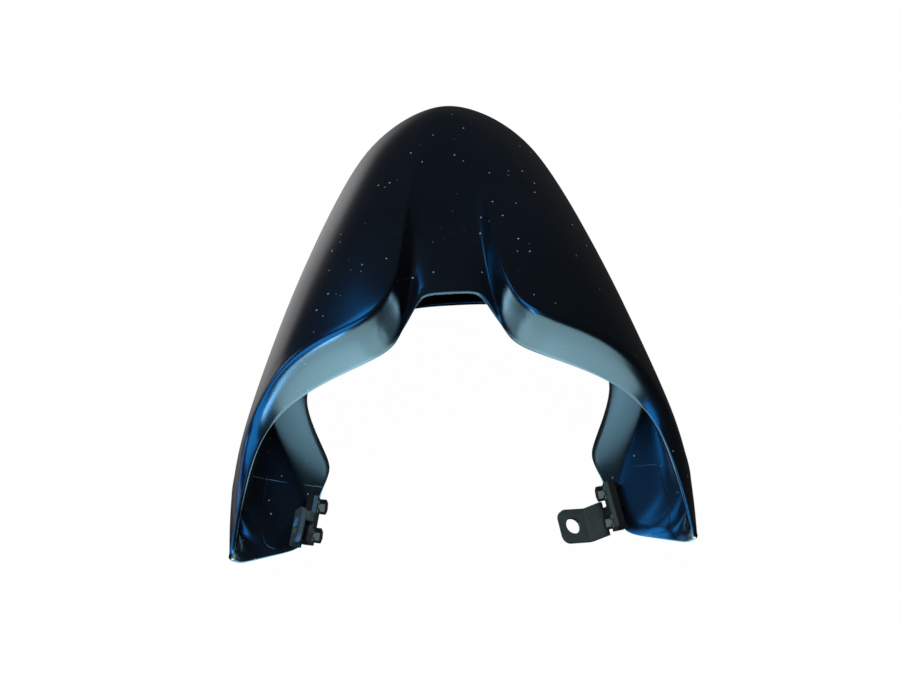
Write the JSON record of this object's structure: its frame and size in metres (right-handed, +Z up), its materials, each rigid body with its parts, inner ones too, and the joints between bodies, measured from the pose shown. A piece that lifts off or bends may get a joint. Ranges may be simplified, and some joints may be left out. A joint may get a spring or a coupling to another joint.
{
  "type": "motorcycle seat cowl",
  "caption": "Single-seat cowl for a motorcycle: a moulded shell with a notched front, a sunk channel along the top and steel mounting brackets at the feet of its two wings.",
  "frame": {"origin": "on the ground under the middle of the part's bounding box", "axes": "+Y runs back from the wing tips to the tail, +X is the right-hand wing, +Z up"},
  "size_m": [0.2732, 0.3567, 0.1304],
  "materials": {
    "cowl_plastic": "satin black moulding",
    "pad_plastic": "matte black moulding",
    "coated_steel": "dark satin coating",
    "zinc_plating": "zinc plated",
    "insert_brass": "plain turned"
  },
  "bodies": {
    "root": {"cowl_shell": "cowl_plastic", "mount_pad_right": "pad_plastic", "mount_pad_left": "pad_plastic", "bracket_right": "coated_steel", "bracket_left": "coated_steel", "screw_right_front": "zinc_plating", "screw_right_rear": "zinc_plating", "screw_left_front": "zinc_plating", "screw_left_rear": "zinc_plating", "washer_right_front": "zinc_plating", "washer_right_rear": "zinc_plating", "washer_left_front": "zinc_plating", "washer_left_rear": "zinc_plating", "insert_right_front": "insert_brass", "insert_right_rear": "insert_brass", "insert_left_front": "insert_brass", "insert_left_rear": "insert_brass"}
  },
  "joints": []
}
